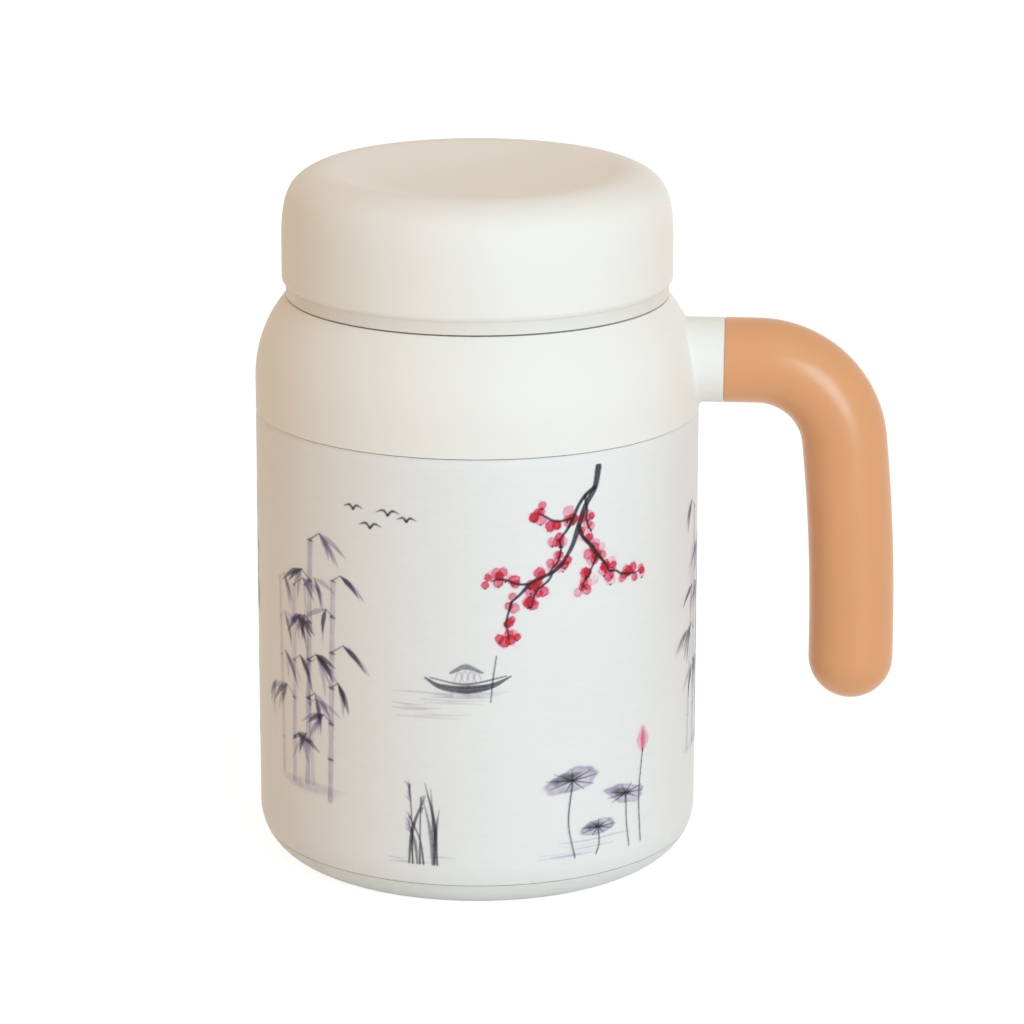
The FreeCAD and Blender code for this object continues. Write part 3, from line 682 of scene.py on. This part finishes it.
def paintReeds(seed):
    # upright rushes, some with plumed heads
    look = reedLook
    sheet = newSheet(look, seed)
    rng = sheet["rng"]
    paintWater(sheet, look["waterLevel"], look["waterLines"], look["width"])
    for blade in range(look["blades"]):
        x = look["width"] * 0.5 + rng.uniform(-look["clump"], look["clump"])
        bow, tall = rng.uniform(-look["bow"], look["bow"]), rng.uniform(*look["tall"])
        knee = (x + bow * look["kneeAcross"], tall * look["kneeUp"])
        points = [(x, look["footLevel"]), knee, (x + bow, tall)]
        if blade % look["plumeEvery"]:
            stroke(sheet, points, [0.4, 0.75, 0.05], rng.uniform(0.4, 0.9), "black", dry=0.3)
            continue
        stroke(sheet, points, [0.35, 0.22, 0.2], tone=0.9, ink="black")
        way = look["rightWay"] if bow > 0 else look["leftWay"]
        for tuft in range(look["tufts"]):
            root = away(points[-1], -math.pi / 2, look["tuftStep"] * tuft)
            heading = way + rng.uniform(-look["tuftWaver"], look["tuftWaver"])
            tip = away(root, heading, rng.uniform(*look["tuft"]))
            stroke(sheet, [root, tip], [0.5, 0.1], tone=0.8, ink="violet")
    return sheet


birdLook = {
    "width": 18, "height": 11, "count": 4, "first": 2.5, "apart": 3.9, "low": 3, "climb": (0, 5),
    "size": (0.8, 1.3), "wing": [(0, 0), (0.8, 0.75), (2.0, 0.35)],
}


def paintBirds(seed):
    look = birdLook
    sheet = newSheet(look, seed)
    rng = sheet["rng"]
    for bird in range(look["count"]):
        x, y = look["first"] + look["apart"] * bird, look["low"] + rng.uniform(*look["climb"])
        size = rng.uniform(*look["size"])
        for side in (-1, 1):
            wing = [(x + side * across * size, y + up * size) for across, up in look["wing"]]
            stroke(sheet, wing, [0.45, 0.4, 0.05], tone=0.9, ink="black")
    return sheet


# painter, seed, degrees round from the camera's side to the left edge, millimetres up to the lower edge
prints = {
    "print_berries_front": (paintSprig, 42, -3, 53),
    "print_bamboo_front": (paintBamboo, 3, -74, 19),
    "print_boat_front": (paintBoat, 5, -24, 40),
    "print_pond_front": (paintPond, 2, 14, 9),
    "print_reeds_front": (paintReeds, 8, -28, 9),
    "print_birds_front": (paintBirds, 4, -36, 74),
    "print_bamboo_side": (paintBamboo, 12, 58, 22),
    "print_pond_back": (paintPond, 6, 118, 10),
    "print_berries_back": (paintSprig, 7, 150, 53),
    "print_boat_back": (paintBoat, 9, 196, 36),
    "print_bamboo_back": (paintBamboo, 21, 238, 22),
}
for name, (paint, seed, angle, bottom) in prints.items():
    wrapPrint(name, paint(seed), angle, bottom)


def shownRays(tree):
    # 1 for rays that show the background: camera, glossy and transmission
    path = addNode(tree, "ShaderNodeLightPath")
    first = addNode(tree, "ShaderNodeMath", operation="MAXIMUM")
    second = addNode(tree, "ShaderNodeMath", operation="MAXIMUM")
    tree.links.new(path.outputs["Is Camera Ray"], first.inputs[0])
    tree.links.new(path.outputs["Is Glossy Ray"], first.inputs[1])
    tree.links.new(first.outputs[0], second.inputs[0])
    tree.links.new(path.outputs["Is Transmission Ray"], second.inputs[1])
    return second.outputs[0]


def shownOrLit(tree, lit, shown, out):
    # one shader for the rays that show it and another for the light that it gives back
    mix = addNode(tree, "ShaderNodeMixShader")
    tree.links.new(shownRays(tree), mix.inputs["Fac"])
    tree.links.new(lit.outputs[0], mix.inputs[1])
    tree.links.new(shown.outputs[0], mix.inputs[2])
    tree.links.new(mix.outputs[0], out.inputs["Surface"])


floorLook = {
    "size": 8.0, "glow": (0.86, 0.86, 0.86), "shadowTone": 0.35, "speckleScale": 40, "speckleTone": 0.98,
    "bounce": 0.85,
}


def makeFloor():
    bm = bmesh.new()
    bmesh.ops.create_grid(bm, x_segments=1, y_segments=1, size=floorLook["size"])
    mesh = bpy.data.meshes.new("floor")
    bm.to_mesh(mesh)
    bm.free()
    floor = bpy.data.objects.new("floor", mesh)
    bpy.context.scene.collection.objects.link(floor)
    material, tree, shader = newMaterial("pale floor")
    tree.nodes.clear()
    out = addNode(tree, "ShaderNodeOutputMaterial")
    speckle = mappedNoise(tree, floorLook["speckleScale"], detail=3.0)
    seen = addNode(tree, "ShaderNodeBsdfDiffuse")
    tone = floorLook["shadowTone"]
    tree.links.new(tones(tree, speckle.outputs["Fac"], (tone * floorLook["speckleTone"],) * 3, (tone,) * 3),
                   seen.inputs["Color"])
    glow = addNode(tree, "ShaderNodeEmission", {"Color": (*floorLook["glow"], 1), "Strength": 1.0})
    both = addNode(tree, "ShaderNodeAddShader")
    tree.links.new(seen.outputs[0], both.inputs[0])
    tree.links.new(glow.outputs[0], both.inputs[1])
    bounce = addNode(tree, "ShaderNodeBsdfDiffuse", {"Color": (*(floorLook["bounce"],) * 3, 1)})
    shownOrLit(tree, bounce, both, out)
    mesh.materials.append(material)


roomLight = (0.637, 0.434, 0.258)   # warm and dim, from all round


def makeWorld():
    world = bpy.data.worlds.new("room")
    world.use_nodes = True
    bpy.context.scene.world = world
    tree = world.node_tree
    tree.nodes.clear()
    out = addNode(tree, "ShaderNodeOutputWorld")
    room = addNode(tree, "ShaderNodeBackground", {"Color": (*roomLight, 1), "Strength": 1.0})
    white = addNode(tree, "ShaderNodeBackground", {"Color": (1, 1, 1, 1), "Strength": 1.0})
    shownOrLit(tree, room, white, out)


# share is what a lamp adds, on a surface that faces it, to a colour seen at its written value
lamps = {
    "window": {
        "share": (0.282, 0.394, 0.477), "azimuth": 30.0, "elevation": 14.0, "width": 0.6, "height": 0.85,
    },
    "ceiling": {
        "share": (0.107, 0.194, 0.259), "azimuth": 30.0, "elevation": 60.0, "width": 0.8, "height": 0.8,
    },
    "rear": {
        "share": (0.30, 0.43, 0.52), "azimuth": 165.0, "elevation": 3.0, "width": 0.5, "height": 0.16,
    },
}
lampDistance, lampAim = 1.5, 0.07   # metres from the point aimed at, and its height above the floor


def makeLamp(name, lamp):
    azimuth, elevation = math.radians(lamp["azimuth"]), math.radians(lamp["elevation"])
    level = math.cos(elevation)
    way = Vector((math.sin(azimuth) * level, -math.cos(azimuth) * level, math.sin(elevation)))
    brightest = max(lamp["share"])
    light = bpy.data.lights.new(name, "AREA")
    light.shape = "RECTANGLE"
    light.size, light.size_y = lamp["width"], lamp["height"]
    light.color = [c / brightest for c in lamp["share"]]
    light.energy = brightest * (math.pi * lampDistance) ** 2
    holder = bpy.data.objects.new(name, light)
    holder.location = Vector((0, 0, lampAim)) + way * lampDistance
    holder.rotation_euler = way.to_track_quat("Z", "Y").to_euler()
    holder.visible_glossy = name == "window"   # the others only fill, and show in no highlight
    bpy.context.scene.collection.objects.link(holder)


def makeCamera():
    azimuth, distance = math.radians(cameraPlace["azimuth"]), cameraPlace["distance"]
    camera = bpy.data.cameras.new("camera")
    camera.lens = cameraPlace["lens"]
    camera.sensor_width = cameraPlace["sensor"]
    camera.shift_x = cameraPlace["shift"]
    camera.clip_start = cameraPlace["nearest"]
    holder = bpy.data.objects.new("camera", camera)
    holder.location = (distance * math.sin(azimuth), -distance * math.cos(azimuth), cameraPlace["height"])
    holder.rotation_euler = (math.radians(90 - cameraPlace["down"]), 0, azimuth)
    bpy.context.scene.collection.objects.link(holder)
    bpy.context.scene.camera = holder


makeFloor()
makeWorld()
for name, lamp in lamps.items():
    makeLamp(name, lamp)
makeCamera()
bpy.context.scene.view_settings.view_transform = "Standard"
print("stage, lamps and camera placed")
